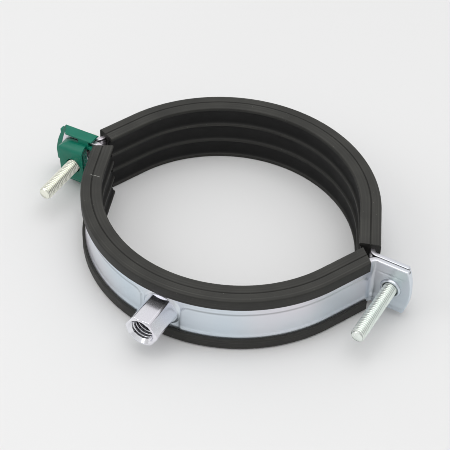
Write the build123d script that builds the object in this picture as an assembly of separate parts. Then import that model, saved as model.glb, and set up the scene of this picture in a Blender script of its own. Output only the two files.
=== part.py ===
from build123d import *
import os
from math import cos, radians, sin, sqrt, tan

# Rubber lined pipe clamp, two screws, millimetres.
# The pipe axis is Z. The ears lie along X, the connection nut points along -Y.
# Y = 0 is the plane in which the ears of the two halves meet.

# ---- driving dimensions -------------------------------------------------
PIPE_R = 56.0            # radius on the ridges of the rubber, for pipe of 108 to 112
LINER_W = 28.0           # overall height of the rubber along the pipe
STRAP_W = 23.2           # width of the steel strap
STRAP_T = 2.2            # thickness of the steel strap
STRAP_OUT_R = 62.75      # outer radius of the steel strap
LIP_OUT_R = 64.75        # outer radius of the rubber lips
LIP_W = 5.4              # height of one rubber lip along the pipe
LOWER_LIFT = 4.07        # from the ear plane to the arc centre of the lower half
UPPER_LIFT = 3.07        # from the ear plane to the arc centre of the upper half
HALF_SLIP = 1.16         # sideways shift of each half, taken up by the slots
BEND_R = 2.6             # middle radius of the bend into the ear
BEAD_RISE = 0.5          # height of the pressed stiffening bead
BEAD_W = 13.6            # width of the stiffening bead
BEAD_START = 9.5         # degrees from the middle to the start of the bead
BEAD_STOP = 63.0         # degrees from the middle to the end of the bead

# Each end of a half: degrees of arc from the middle, then the length of the
# rubber's straight end on its inner and on its outer side.
LOWER_RIGHT = (65.2, 20.4, 18.4)
LOWER_LEFT = (70.0, 15.4, 13.7)
UPPER_RIGHT = (65.0, 21.5, 22.2)
UPPER_LEFT = (68.0, 17.1, 17.1)

SCREW_OFFSET = 74.4      # screw axes from the middle of the lower half
EAR_BULGE = 2.2          # how far the ear's rounded end passes its corners
RIGHT_EAR = 80.7         # corners of the lower right ear from the half's middle
LEFT_EAR = 82.0          # corners of the lower left ear from the half's middle
UPPER_RIGHT_EAR = 82.1   # corners of the upper right ear from its half's middle
HOOK_EAR = 80.0          # corners of the upper left ear, cut to a hook
HOOK_W = 13.0            # width of the hook
HOOK_NECK = 68.3         # where the hook starts, from its half's middle

SCREW_D = 5.9            # M6 over its thread
SCREW_L = 35.0           # under the head
HEAD_AF = 10.0
HEAD_H = 4.0
TAPPED_D = 6.0           # collar bore, over the thread
SLOT_W = 6.6             # clearance slots in the upper ears
COLLAR_D = 8.8           # drawn collar round a tapped hole
COLLAR_H = 0.9           # how far the collar stands off the ear

NUT_AF = 13.0
NUT_X = 3.2              # the nut's axis from the middle between the ears
NUT_TIP = 74.3           # distance of the nut's mouth from the ear plane
NUT_M10_R = 4.25         # core radius of the M10 thread
NUT_M8_R = 3.4           # core radius of the M8 thread
NUT_M10_DEPTH = 9.0
NUT_RELIEF = 0.7         # undercut where the M8 thread ends at the strap
WELD_R = 8.3             # weld ring round the foot of the nut
WELD_H = 1.1

CLIP_TILT = -3.0         # the clip hangs a little crooked on its screw
CLIP_Z = 13.1            # half height of the clip
CLIP_WALL = 1.2
CLIP_FRONT = 3.8         # front wall's face, before the ear plane
CLIP_BACK = 3.6          # back plate's face, behind the ear plane
CLIP_BOX_BACK = 5.7      # face under the screw head
CLIP_BOX_Z = 8.4         # half height of the box behind the hook
CLIP_ROOM_BACK = 4.6     # inside of the box behind the hook
CLIP_TONGUE = 7.9        # front face of the tongue, before the ear plane
CLIP_TONGUE_Z = 7.2      # half height of the tongue's front face
CLIP_TONGUE_ROOT_Z = 10.0  # half height of the tongue where it leaves the front wall
CLIP_TONGUE_INNER_X = -68.2  # end of the tongue beside the rubber
CLIP_TONGUE_OUTER_X = -82.4  # outer end of the tongue at its root
CLIP_BAR = 0.9           # thickness of the top and bottom bars at the front
CLIP_INNER_X = -65.4     # end of the clip beside the rubber
CLIP_OUTER_X = -81.4     # outer end of the top and bottom bars
CLIP_WINDOW_X = -72.4    # the front windows are open from here outwards
CLIP_PLATE_X = -71.5     # inner end of the back plate and its box
CLIP_NOTCH_X = -67.3     # a notch under the top bar runs from here to the inner end

# ---- sizes worked out from these ---------------------------------------
STRAP_IN_R = STRAP_OUT_R - STRAP_T
STRAP_MID_R = STRAP_OUT_R - STRAP_T / 2
RIGHT_SCREW_X = HALF_SLIP + SCREW_OFFSET
LEFT_SCREW_X = HALF_SLIP - SCREW_OFFSET

# Faces drawn in XY are extruded along Z, those drawn in XZ along Y.
FRONT = Plane.XZ


def block(x0, x1, y0, y1, z0, z1):
    """A box given by its limits."""
    size = Box(x1 - x0, y1 - y0, z1 - z0)
    return Pos((x0 + x1) / 2, (y0 + y1) / 2, (z0 + z1) / 2) * size


def rod(x, y0, y1, radius):
    """A cylinder along Y, from y0 to y1, at x and mid-height."""
    return Pos(x, (y0 + y1) / 2, 0) * Rot(90, 0, 0) * Cylinder(radius, abs(y1 - y0))


def tail_dir(arc):
    """The way a straight end runs, from the end of an arc of so many degrees."""
    return Vector(cos(radians(arc)), sin(radians(arc)))


def tail_out(arc):
    """The way outwards, square to a straight end."""
    return Vector(sin(radians(arc)), -cos(radians(arc)))


def strap_side(shift, ear_end, arc, lift):
    """One surface of the strap, seen along the pipe, from the middle to an ear's end.

    shift is the distance outwards from the middle of the sheet.
    """
    ear_mid = -lift - STRAP_T / 2
    turn = tan(radians(arc / 2)) * BEND_R
    to_ear = (ear_mid + STRAP_MID_R * cos(radians(arc))) / sin(radians(arc))
    bend_at = tail_out(arc) * STRAP_MID_R + tail_dir(arc) * (to_ear - turn)
    centre = bend_at + tail_out(arc) * BEND_R
    bend = BEND_R - shift
    half_turn = radians(90 + arc / 2)
    bend_top = Vector(centre.X, centre.Y + bend)
    bend_mid = centre + Vector(cos(half_turn), sin(half_turn)) * bend
    bend_low = centre - tail_out(arc) * bend
    arc_end = tail_out(arc) * (STRAP_MID_R + shift)
    arc_mid = tail_out(arc / 2) * (STRAP_MID_R + shift)
    bottom = Vector(0, -(STRAP_MID_R + shift))
    return [
        Line((ear_end, ear_mid - shift), bend_top),
        ThreePointArc(bend_top, bend_mid, bend_low),
        Line(bend_low, arc_end),
        ThreePointArc(arc_end, arc_mid, bottom),
    ]


def half_strap(ear_end, arc, lift):
    """The right-hand part of a strap half, from its middle to a square ear end."""
    inner = strap_side(-STRAP_T / 2, ear_end, arc, lift)
    outer = strap_side(STRAP_T / 2, ear_end, arc, lift)
    ends = [Line(inner[0] @ 0, outer[0] @ 0), Line(inner[-1] @ 1, outer[-1] @ 1)]
    face = make_face(inner + outer + ends)
    return extrude(face, STRAP_W / 2, both=True)


def ear_end_cutter(corner):
    """What is cut from an ear to give it a bulging end."""
    half = STRAP_W / 2
    far = corner + 30
    edges = [
        Line((corner, half + 5), (corner, half)),
        ThreePointArc((corner, half), (corner + EAR_BULGE, 0), (corner, -half)),
        Line((corner, -half), (corner, -half - 5)),
        Line((corner, -half - 5), (far, -half - 5)),
        Line((far, -half - 5), (far, half + 5)),
        Line((far, half + 5), (corner, half + 5)),
    ]
    return extrude(FRONT * make_face(edges), 20, both=True)


def bead(side, inner_r, outer_r, width):
    """One stretch of the stiffening bead: a ring sector with rounded ends."""
    ring = Cylinder(outer_r, width) - Cylinder(inner_r, width + 1)
    span = BEAD_STOP - BEAD_START
    middle = (BEAD_START + BEAD_STOP) / 2
    sweep_len = 2 * STRAP_OUT_R * sin(radians(span / 2))
    plug = SlotOverall(sweep_len, width)
    turn = Rot(0, 0, side * middle)
    wall = extrude(FRONT * plug, STRAP_OUT_R + 5)
    return ring & (turn * wall)


def strap(right_corner, left_corner, right_arc, left_arc, lift):
    """A strap half, drawn with its middle at -Y and its arc centre at the origin."""
    body = half_strap(right_corner + 10, right_arc, lift)
    body += mirror(half_strap(left_corner + 10, left_arc, lift), Plane.YZ)
    body -= ear_end_cutter(right_corner)
    body -= mirror(ear_end_cutter(left_corner), Plane.YZ)
    for side in (-1, 1):
        body += bead(side, STRAP_OUT_R - 0.3, STRAP_OUT_R + BEAD_RISE, BEAD_W)
        body -= bead(side, STRAP_IN_R - 1, STRAP_IN_R + BEAD_RISE, BEAD_W - 1.6)
    return body


def liner_section():
    """The rubber's section: X is the radius, Y the place along the pipe."""
    half = LINER_W / 2
    rim = 1.4                      # width of each outer ridge
    ridge = 1.0                    # width of each inner ridge
    ridge_r = PIPE_R
    hollow = 1.3                   # depth of the hollows between the ridges
    hollow_w = (LINER_W - 2 * rim - 2 * ridge) / 3
    groove_r = (PIPE_R + LIP_OUT_R) / 2
    strap_h = STRAP_W / 2
    lip_in = half - LIP_W
    points = [(ridge_r + 0.4, half), (groove_r - 0.35, half), (groove_r, half - 0.45)]
    points += [(groove_r + 0.35, half), (LIP_OUT_R - 1.3, half)]
    edges = [Polyline(*points)]
    edges.append(ThreePointArc(points[-1], (LIP_OUT_R - 0.38, half - 0.38), (LIP_OUT_R, half - 1.3)))
    back = [(LIP_OUT_R, half - 1.3), (LIP_OUT_R, lip_in + 0.3), (STRAP_OUT_R, lip_in)]
    back += [(STRAP_OUT_R, strap_h), (STRAP_IN_R, strap_h), (STRAP_IN_R, -strap_h)]
    back += [(STRAP_OUT_R, -strap_h), (STRAP_OUT_R, -lip_in), (LIP_OUT_R, -lip_in - 0.3)]
    back.append((LIP_OUT_R, -half + 1.3))
    edges.append(Polyline(*back))
    low = (LIP_OUT_R - 1.3, -half)
    edges.append(ThreePointArc(back[-1], (LIP_OUT_R - 0.38, -half + 0.38), low))
    foot = [low, (groove_r + 0.35, -half), (groove_r, -half + 0.45), (groove_r - 0.35, -half)]
    foot += [(ridge_r + 0.4, -half), (ridge_r, -half + 0.4), (ridge_r, -half + rim)]
    edges.append(Polyline(*foot))
    z = -half + rim
    for i in range(3):
        edges.append(ThreePointArc((ridge_r, z), (ridge_r + hollow, z + hollow_w / 2), (ridge_r, z + hollow_w)))
        z += hollow_w
        if i < 2:
            edges.append(Line((ridge_r, z), (ridge_r, z + ridge)))
            z += ridge
    edges.append(Polyline((ridge_r, z), (ridge_r, half - 0.4), (ridge_r + 0.4, half)))
    return make_face(edges)


def liner_tail(arc, inner_length, outer_length):
    """A straight end of the rubber, cut off at a slant."""
    longest = max(inner_length, outer_length) + 2
    finish = Rot(0, 0, -90 + arc) * (FRONT * liner_section())
    tail = extrude(finish, longest, dir=(tail_dir(arc).X, tail_dir(arc).Y, 0))
    slope = (outer_length - inner_length) / (LIP_OUT_R - PIPE_R)
    corners = []
    for radius in (PIPE_R - 5, LIP_OUT_R + 5):
        length = inner_length + slope * (radius - PIPE_R)
        corners.append(tail_out(arc) * radius + tail_dir(arc) * length)
    beyond = tail_dir(arc) * 15
    corners += [corners[1] + beyond, corners[0] + beyond]
    cutter = make_face(Polyline(*corners, close=True))
    return tail - extrude(cutter, LINER_W, both=True)


def liner(right, left):
    """A rubber half, drawn like the strap: an arc with two straight tails."""
    section = FRONT * liner_section()
    start = Rot(0, 0, -90 - left[0]) * section
    arc = revolve(start, Axis.Z, left[0] + right[0])
    return arc + liner_tail(*right) + mirror(liner_tail(*left), Plane.YZ)


def lower(shape):
    """Puts a half in its place as the lower half."""
    return Pos(HALF_SLIP, LOWER_LIFT, 0) * shape


def upper(shape):
    """Puts a half in its place as the upper half, turned half round the pipe."""
    return Pos(-HALF_SLIP, -UPPER_LIFT, 0) * Rot(0, 0, 180) * shape


def make_lower_band():
    """The lower strap, with a drawn and tapped collar in each ear."""
    band = lower(strap(RIGHT_EAR, LEFT_EAR, LOWER_RIGHT[0], LOWER_LEFT[0], LOWER_LIFT))
    for x in (LEFT_SCREW_X, RIGHT_SCREW_X):
        band += rod(x, -STRAP_T - COLLAR_H, -STRAP_T / 2, COLLAR_D / 2)
        band -= rod(x, -STRAP_T - COLLAR_H - 1, 1, TAPPED_D / 2)
    return band


def make_upper_band():
    """The upper strap: a closed slot in the right ear, an open hook on the left."""
    band = upper(strap(HOOK_EAR, UPPER_RIGHT_EAR, UPPER_LEFT[0], UPPER_RIGHT[0], UPPER_LIFT))
    slot = Rectangle(2 * HALF_SLIP, SLOT_W) + Pos(HALF_SLIP, 0) * Circle(SLOT_W / 2)
    slot += Pos(-HALF_SLIP, 0) * Circle(SLOT_W / 2)
    slot_x = RIGHT_SCREW_X - HALF_SLIP + 0.1
    band -= extrude(Pos(slot_x, 0, 0) * (FRONT * slot), 10, both=True)
    neck = -HALF_SLIP - HOOK_NECK
    corner_r = 1.5
    for side in (-1, 1):
        edge = HOOK_W / 2
        cut = Pos(neck - 10, side * (edge + 5)) * RectangleRounded(20, 10, corner_r)
        cut += Pos(neck - 14, side * (edge + 6)) * Rectangle(20, 12)
        band -= extrude(FRONT * cut, 4, both=True) & block(-100, -60, -1, 4, -20, 20)
    mouth = Pos(LEFT_SCREW_X, 0) * Circle(SLOT_W / 2)
    mouth += Pos(LEFT_SCREW_X - 10, 0) * Rectangle(20, SLOT_W)
    band -= extrude(FRONT * mouth, 10, both=True) & block(-100, -60, -1, 4, -20, 20)
    return band


def make_connection_nut():
    """A long hexagon nut: M10 at its mouth, M8 behind, its foot fits the strap."""
    foot = STRAP_OUT_R - LOWER_LIFT
    corner = NUT_AF / sqrt(3)
    length = NUT_TIP - foot + 2
    nut = Pos(NUT_X, -NUT_TIP, 0) * extrude(FRONT * RegularPolygon(corner, 6), -length)
    small = corner - 1.7
    cone = Cone(small, small + length * 1.7, length)
    nut &= Pos(NUT_X, -NUT_TIP + length / 2, 0) * Rot(-90, 0, 0) * cone
    nut += rod(NUT_X, -foot - WELD_H, -foot + 2, WELD_R)
    nut -= Pos(HALF_SLIP, LOWER_LIFT, 0) * Cylinder(STRAP_OUT_R, 40)
    nut -= rod(NUT_X, -NUT_TIP - 1, -NUT_TIP + NUT_M10_DEPTH, NUT_M10_R)
    nut -= rod(NUT_X, -NUT_TIP, -foot + 3, NUT_M8_R)
    nut -= rod(NUT_X, -foot - NUT_RELIEF, -foot + 3, NUT_M8_R + NUT_RELIEF)
    sink = Cone(NUT_M10_R + 1.2, NUT_M10_R - 0.3, 1.5)
    nut -= Pos(NUT_X, -NUT_TIP + 0.7, 0) * Rot(-90, 0, 0) * sink
    return nut


def make_screw(x, head_y):
    """An M6 screw with a hexagon head and a cross recess; head_y is under its head."""
    tip = head_y - SCREW_L
    shank = rod(x, tip, head_y, SCREW_D / 2)
    shank = chamfer(shank.edges().sort_by(Axis.Y)[0], 0.7)
    head = extrude(FRONT * RegularPolygon(HEAD_AF / sqrt(3), 6), -HEAD_H)
    head = Pos(x, head_y, 0) * head
    head &= Pos(x, head_y + HEAD_H / 2, 0) * Rot(-90, 0, 0) * Cone(8.5, 5.0, HEAD_H)
    top = head_y + HEAD_H
    head -= block(x - 2.8, x + 2.8, top - 1.8, top + 1, -0.5, 0.5)
    head -= block(x - 0.5, x + 0.5, top - 1.8, top + 1, -2.8, 2.8)
    return shank + head


def clip_sleeve():
    """The clip's ring, drawn in YZ and run along X, open at both ends."""
    slope = CLIP_BACK - 1.2
    outer = Polyline(
        (-CLIP_FRONT, CLIP_Z - 0.4), (-CLIP_FRONT + 0.4, CLIP_Z), (1.2, CLIP_Z),
        (CLIP_BACK, CLIP_Z - slope), (CLIP_BACK, -CLIP_Z + slope), (1.2, -CLIP_Z),
        (-CLIP_FRONT + 0.4, -CLIP_Z), (-CLIP_FRONT, -CLIP_Z + 0.4), close=True)
    face_in = CLIP_Z - CLIP_BAR
    front_in = -CLIP_FRONT + CLIP_WALL
    back_in = STRAP_T + 0.1
    inner = Polyline(
        (front_in, face_in), (0.8, face_in), (back_in, face_in - 1.5),
        (back_in, -face_in + 1.5), (0.8, -face_in), (front_in, -face_in), close=True)
    ring = make_face(outer) - make_face(inner)
    return Pos(-100, 0, 0) * extrude(Plane.YZ * ring, 100 + CLIP_INNER_X)


def clip_back_outline():
    """The outline of the back plate, seen from the front, as a prism along Y."""
    edges = [
        Line((CLIP_PLATE_X, 14), (-82.4, 14)),
        Line((-82.4, 14), (-82.4, 12.2)),
        ThreePointArc((-82.4, 12.2), (-87.0, 4.2), (-89.3, -4.0)),
        Line((-89.3, -4.0), (-89.1, -9.2)),
        Line((-89.1, -9.2), (-87.4, -9.6)),
        Line((-87.4, -9.6), (-85.8, -14)),
        Line((-85.8, -14), (CLIP_PLATE_X, -14)),
        Line((CLIP_PLATE_X, -14), (CLIP_PLATE_X, 14)),
    ]
    return extrude(FRONT * make_face(edges), 20, both=True)


def tongue_side(front, half_z, root_z, root_y):
    """The tongue seen along X: a flat front with rounded shoulders down to its root."""
    bulge = (-front * 0.66 + root_y * 0.34, root_z - 0.8)
    edges = [
        Line((root_y + CLIP_WALL, root_z), (root_y, root_z)),
        ThreePointArc((root_y, root_z), bulge, (-front, half_z)),
        Line((-front, half_z), (-front, -half_z)),
        ThreePointArc((-front, -half_z), (bulge[0], -bulge[1]), (root_y, -root_z)),
        Line((root_y, -root_z), (root_y + CLIP_WALL, -root_z)),
        Line((root_y + CLIP_WALL, -root_z), (root_y + CLIP_WALL, root_z)),
    ]
    return Plane.YZ * make_face(edges)


def tongue_outline():
    """The tongue seen from the front: its outer corners are well rounded."""
    outer = CLIP_TONGUE_OUTER_X
    inner = CLIP_TONGUE_INNER_X
    top = CLIP_TONGUE_ROOT_Z + 0.1
    edges = [
        Line((inner, -top), (inner, top)),
        Line((inner, top), (outer + 6.4, top)),
        ThreePointArc((outer + 6.4, top), (outer + 1.9, top - 2.4), (outer, top - 6.2)),
        Line((outer, top - 6.2), (outer, -top + 6.2)),
        ThreePointArc((outer, -top + 6.2), (outer + 1.9, -top + 2.4), (outer + 6.4, -top)),
        Line((outer + 6.4, -top), (inner, -top)),
    ]
    return extrude(FRONT * make_face(edges), 20, both=True)


def make_lock_clip():
    """The plastic clip: a sleeve round the ears, a tongue before and a box behind."""
    split = STRAP_T + 0.05
    opening = CLIP_Z - CLIP_BAR
    ring = clip_sleeve()
    front_part = ring & block(-100, CLIP_INNER_X, -20, split, -20, 20)
    near = CLIP_OUTER_X + 2.6
    slant = Polyline((near, -20), (near, -CLIP_FRONT), (CLIP_OUTER_X, 1.2),
                     (CLIP_OUTER_X, 20), (-120, 20), (-120, -20), close=True)
    front_part -= extrude(make_face(slant), 20, both=True)
    front_part -= block(-100, CLIP_WINDOW_X, -20, -STRAP_T - 0.2, -opening, opening)
    front_part -= block(CLIP_PLATE_X, -60, 0.3, 20, -opening, opening)
    front_part -= block(CLIP_NOTCH_X, -60, -20, -STRAP_T - 0.2, 9.8, opening)
    back_part = (ring & block(-100, CLIP_PLATE_X, split, 20, -20, 20)) & clip_back_outline()
    box = block(-86.0, CLIP_PLATE_X, STRAP_T + 0.1, CLIP_BOX_BACK, -CLIP_BOX_Z, CLIP_BOX_Z)
    box = chamfer(box.edges().filter_by(Axis.X).group_by(Axis.Y)[-1], 1.2)
    inside = CLIP_BOX_Z - CLIP_WALL
    room = block(-83.5, -60, -STRAP_T, CLIP_ROOM_BACK, -inside, inside)
    clip = front_part + back_part + box - room
    root_y = -CLIP_FRONT
    length = CLIP_TONGUE_INNER_X - CLIP_TONGUE_OUTER_X
    tongue = tongue_side(CLIP_TONGUE, CLIP_TONGUE_Z, CLIP_TONGUE_ROOT_Z, root_y)
    tongue = Pos(CLIP_TONGUE_OUTER_X, 0, 0) * extrude(tongue, length)
    front_x = CLIP_TONGUE_OUTER_X + 2.4
    end_cut = Polyline((front_x, -CLIP_TONGUE - 1), (front_x, -CLIP_TONGUE),
                       (CLIP_TONGUE_OUTER_X, -CLIP_FRONT), (-90, -CLIP_FRONT),
                       (-90, -CLIP_TONGUE - 1), close=True)
    tongue -= extrude(make_face(end_cut), 20, both=True)
    tongue &= tongue_outline()
    hollow = tongue_side(CLIP_TONGUE - 1.3, CLIP_TONGUE_Z - 1.2, CLIP_TONGUE_ROOT_Z - 1.8, root_y + 0.6)
    hollow_run = Pos(CLIP_TONGUE_OUTER_X + 4.2, 0, 0) * extrude(hollow, length)
    clip = clip + tongue - hollow_run
    clip = Pos(LEFT_SCREW_X, 0, 0) * Rot(0, CLIP_TILT, 0) * Pos(-LEFT_SCREW_X, 0, 0) * clip
    clip -= rod(LEFT_SCREW_X, -CLIP_TONGUE - 1, CLIP_BOX_BACK + 1, 3.4)
    return clip


def main():
    pieces = {
        "lower_band": make_lower_band(),
        "upper_band": make_upper_band(),
        "lower_liner": lower(liner(LOWER_RIGHT, LOWER_LEFT)),
        "upper_liner": upper(liner(UPPER_LEFT, UPPER_RIGHT)),
        "connection_nut": make_connection_nut(),
        "right_screw": make_screw(RIGHT_SCREW_X, STRAP_T),
        "left_screw": make_screw(LEFT_SCREW_X, CLIP_BOX_BACK),
        "lock_clip": make_lock_clip(),
    }
    os.makedirs("parts", exist_ok=True)
    for name, shape in pieces.items():
        export_step(shape, f"parts/{name}.step")


main()
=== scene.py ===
from math import cos, pi, radians, sin, sqrt, tan

import bmesh
import bpy
import numpy as np
from mathutils import Matrix, Vector


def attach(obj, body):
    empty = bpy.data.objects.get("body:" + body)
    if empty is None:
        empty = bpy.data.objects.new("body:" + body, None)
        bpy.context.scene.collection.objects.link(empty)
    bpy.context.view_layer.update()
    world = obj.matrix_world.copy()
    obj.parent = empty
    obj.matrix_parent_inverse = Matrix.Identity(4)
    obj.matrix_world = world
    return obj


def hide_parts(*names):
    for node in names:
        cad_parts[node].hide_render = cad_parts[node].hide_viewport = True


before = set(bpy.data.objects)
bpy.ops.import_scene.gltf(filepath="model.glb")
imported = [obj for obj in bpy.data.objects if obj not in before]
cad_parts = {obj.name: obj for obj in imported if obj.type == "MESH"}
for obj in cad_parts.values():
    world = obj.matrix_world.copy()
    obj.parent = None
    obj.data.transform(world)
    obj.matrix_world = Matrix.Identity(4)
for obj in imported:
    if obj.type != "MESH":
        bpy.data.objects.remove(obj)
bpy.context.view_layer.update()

MM = 0.001

# ---- sizes in millimetres ------------------------------------------------
# The rubber's section: radii from the pipe's middle, widths along the pipe. RUBBER_PLAY keeps it
# clear of the strap.
PIPE_R = 56.0
LINER_W = 28.0
LIP_OUT_R = 64.75
LIP_W = 5.4
LIP_CORNER = 1.3
LIP_EDGE = 0.3
RIM_W = 1.4
RIM_CORNER = 0.5
RIDGE_W = 1.0
HOLLOW_DEPTH = 1.3
HOLLOWS = 3
GROOVE_R = (PIPE_R + LIP_OUT_R) / 2
RUBBER_PLAY = 0.02

# How light the painted shade leaves each part of the rubber's section; OUTER_SHADE is for the strap's
# bed and the lips.
RIDGE_SHADE = 0.8
HOLLOW_SHADE = 0.02
OUTER_SHADE = 0.75
GROOVE_SHADE = 0.5

# The straps, and where each half lies: lifted from the pipe's middle and slipped along X.
STRAP_W = 23.2
STRAP_T = 2.2
STRAP_OUT_R = 62.75
STRAP_MID_R = STRAP_OUT_R - STRAP_T / 2
LOWER_LIFT = 4.07
UPPER_LIFT = 3.07
HALF_SLIP = 1.16
BEND_R = 2.6

# Each end of a half: arc from the middle, then the straight end's inner and outer length.
# Last, how much longer the cut leaves the rubber at its lower edge than at mid-height.
LOWER_RIGHT = (radians(65.2), 21.4, 18.6, 0.3)
LOWER_LEFT = (radians(70.0), 15.4, 13.7, 0.3)
UPPER_RIGHT = (radians(65.0), 21.5, 22.2, 0.0)
UPPER_LEFT = (radians(68.0), 17.1, 17.1, 0.0)

# The pressed bead on the strap's outer side: it starts at those angles beside the nut and ends at
# BEND_ROW, the row of half_line at which the bend starts. BEAD_CREASE is the band over which it
# rises, from outside its edge to inside, and CREASE_SHADE how much painted shade darkens that band.
BEAD_RISE = 0.5
BEAD_W = 10.6
BEAD_MIDDLE = -0.8
BEAD_CORNER = 4.0
BEAD_CREASE = (-0.2, 0.75)
BEAD_START_RIGHT = radians(8.6)
BEAD_START_LEFT = radians(6.5)
BEND_ROW = 132
CREASE_SHADE = 0.32

# The painted shade on the strap's inner edges, where they meet the rubber.
HIDDEN_SHADE = 0.12

# The strap's lower edge stands out a little between these heights, and goes back under the rubber.
FLARE_RISE = 0.3
FLARE_FROM = 5.8
FLARE_TO = 8.6
LIP_COVERS_FROM = -8.8
LIP_COVERS_TO = -9.8

# The fine pressed line on the lower right ear: where it starts and ends, and its height.
EAR_LINE = (68.6, 78.3, 6.45)
EAR_LINE_DEPTH = 0.12
EAR_LINE_HALF_W = 0.35

# The ears' ends, from their half's middle, and the hook with its open slot. HOOK_ROOT rounds the
# corner where the ear narrows to a prong: how far each point lies from the neck and the prong.
EAR_BULGE = 2.2
RIGHT_EAR = 80.7
LEFT_EAR = 82.0
UPPER_RIGHT_EAR = 82.1
HOOK_EAR = 80.0
HOOK_W = 13.0
HOOK_NECK = 68.3
HOOK_ROOT = ((0.0, 1.2), (-0.5, 0.9), (-0.9, 0.3), (-1.3, 0.0))
HOOK_OVERLAP = 0.4
PRONG_CORNER = 0.8
PLATE_PLAY = 0.01
SLOT_W = 6.6

# The M6 screws and the collars that they run in. A thread is its core radius, height and pitch.
SCREW_OFFSET = 74.4
RIGHT_SCREW_X = HALF_SLIP + SCREW_OFFSET
LEFT_SCREW_X = HALF_SLIP - SCREW_OFFSET
SCREW_L = 35.0
SCREW_TIP_R = 2.25
M6_THREAD = (2.42, 0.53, 1.0)
THREAD_TURNS = 34
ROWS_PER_TURN = 12
SCREW_TIP_SLOPE = 0.9
# SCREW_ROOT_SHADE is the painted shade in the thread's roots.
SCREW_ROOT_SHADE = 0.66
HEAD_ACROSS_FLATS = 10.0
HEAD_H = 4.0
HEAD_CORNER_CUT = 0.2
HEAD_FACE_R = 4.95
HEAD_CHAMFER_SLOPE = 1.8
HEAD_UNDER_R = 2.6
WASHER_R = 4.7
RECESS_HALF_W = 0.55
RECESS_REACH = 2.7
RECESS_DEPTH = 1.7
COLLAR_D = 8.8
COLLAR_H = 0.9
COLLAR_BORE_R = 3.0

# The connection nut: M10 at its mouth, M8 behind it.
NUT_ACROSS_FLATS = 13.0
NUT_X = 3.2
NUT_TIP = 74.3
WELD_R = 8.4
NUT_CORNER_CUT = 0.25
NUT_MOUTH_R = 6.3
NUT_CHAMFER_SLOPE = 1.7
NUT_SINK_R = 5.7
NUT_SINK_H = 1.6
SINK_ROWS = 8
M10_ROWS = 90
M8_ROWS = 70
# BORE_SHADE is the painted shade in the nut's threads.
BORE_SHADE = 0.4
NUT_M10_DEPTH = 9.0
M10_THREAD = (4.25, 0.8, 1.5)
M8_THREAD = (3.4, 0.65, 1.25)

# The clip: its box behind the strap, its tongue between the prongs, turned with the whole clip
# about the left screw, and the wall that closes the tongue between two places along X.
CLIP_BOX_BACK = 5.7
CLIP_FRONT = 3.8
CLIP_TILT = radians(-3)
CLIP_TONGUE = 7.9
CLIP_TONGUE_Z = 7.2
CLIP_TONGUE_ROOT_Z = 10.0
CLIP_EDGE = 0.25
TONGUE_WALL = (-69.1, -68.2)
TONGUE_WALL_RIM = 0.15
TONGUE_WALL_TAPER = 0.97


# ---- mesh helpers --------------------------------------------------------
def ramp(x, low, high):
    """Rises smoothly from 0 at low to 1 at high."""
    t = np.clip((x - low) / (high - low), 0.0, 1.0)
    return t * t * (3.0 - 2.0 * t)


def arc_points(cx, cy, radius, start, stop, steps):
    """Evenly spaced points on an arc round (cx, cy), its angles in degrees."""
    a = np.radians(np.linspace(start, stop, steps))
    return np.stack([cx + radius * np.cos(a), cy + radius * np.sin(a)], 1)


def grid_faces(rows, cols, loop=False):
    """The quads of a grid of points whose rows close on themselves.

    Each joins two neighbours of one row to the same two of the next; loop joins last row to first.
    """
    i = np.arange(rows if loop else rows - 1)[:, None]
    j = np.arange(cols)[None, :]
    k = (j + 1) % cols
    after = (i + 1) % rows
    return np.stack([i * cols + j, i * cols + k, after * cols + k, after * cols + j], -1).reshape(-1, 4)


def capped_faces(rows, cols):
    """The quads of such a grid, with its first and last rows each closed by one flat face."""
    faces = grid_faces(rows, cols).tolist()
    faces.append(list(range(cols))[::-1])
    faces.append([(rows - 1) * cols + k for k in range(cols)])
    return faces


def turned_out(points, faces):
    """The faces, all turned round if the volume they enclose comes out negative.

    The volume is the sum, over the faces cut to triangles, of corner . (corner x corner).
    """
    corners = [(face[0], face[k], face[k + 1]) for face in faces for k in range(1, len(face) - 1)]
    a, b, c = points[np.array(corners).T]
    if np.einsum("ij,ij->", a, np.cross(b, c)) < 0:
        return [face[::-1] for face in faces]
    return faces


def smooth(mesh, sharp):
    """Shades a mesh smoothly, but not over edges that turn by more than sharp degrees."""
    mesh.polygons.foreach_set("use_smooth", np.ones(len(mesh.polygons), bool))
    mesh.set_sharp_from_angle(angle=radians(sharp))


def solid(name, parts, material, body, sharp=40.0):
    """One object from several grids.

    parts is a list of (points, faces, shade): points in millimetres, and shade a painted shade
    from 0 in the grooves, creases and gaps, where shadow falls, to 1 on the open surface.
    """
    points = []
    faces = []
    shades = []
    start = 0
    for part_points, part_faces, shade in parts:
        flat = np.asarray(part_points).reshape(-1, 3)
        points.append(flat)
        shades.append(np.broadcast_to(shade, np.shape(part_points)[:-1]).reshape(-1))
        part_faces = turned_out(flat, [[int(i) for i in face] for face in part_faces])
        faces += [[i + start for i in face] for face in part_faces]
        start += len(flat)
    mesh = bpy.data.meshes.new(name)
    mesh.from_pydata((np.concatenate(points) * MM).tolist(), [], faces)
    attribute = mesh.attributes.new("shade", "FLOAT", "POINT")
    attribute.data.foreach_set("value", np.concatenate(shades).astype(np.float32))
    mesh.validate()
    smooth(mesh, sharp)
    mesh.materials.append(material)
    mesh.update()
    piece = bpy.data.objects.new(name, mesh)
    bpy.context.scene.collection.objects.link(piece)
    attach(piece, body)
    return piece


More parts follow.
